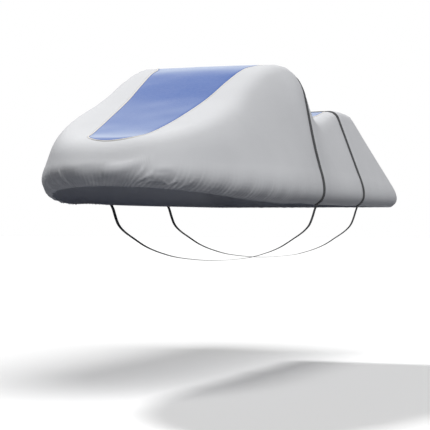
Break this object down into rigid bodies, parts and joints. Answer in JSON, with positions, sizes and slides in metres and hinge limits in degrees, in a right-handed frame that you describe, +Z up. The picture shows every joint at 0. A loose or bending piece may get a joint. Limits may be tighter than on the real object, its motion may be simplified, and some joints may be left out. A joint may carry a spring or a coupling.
{
  "type": "personal watercraft cover",
  "caption": "Fitted weather cover for a personal watercraft: gathered elastic hem, coloured centre panel with piping, straps over the top and tie-down straps under the hull.",
  "frame": {"origin": "on the centreline, under the cloth at the handlebars' crest, where the watercraft carries the cover", "axes": "+Z up, bow towards -Y, stern towards +Y, +X to port (the side to the right when the bow faces the viewer)"},
  "size_m": [1.2082, 3.1641, 1.0083],
  "materials": {
    "grey_cloth": "silver-grey coated polyester, fine plain weave, soft sheen",
    "blue_cloth": "mid-blue coated polyester, fine plain weave, soft sheen",
    "cream_piping": "pale cream covered piping, matt",
    "dark_webbing": "charcoal polypropylene webbing, ribbed, matt"
  },
  "bodies": {
    "root": {"cover_body": "grey_cloth", "centre_panel": "blue_cloth", "panel_piping": "cream_piping", "strap_front": "dark_webbing", "strap_rear": "dark_webbing", "belly_strap_front": "dark_webbing", "belly_strap_rear": "dark_webbing"}
  },
  "joints": []
}
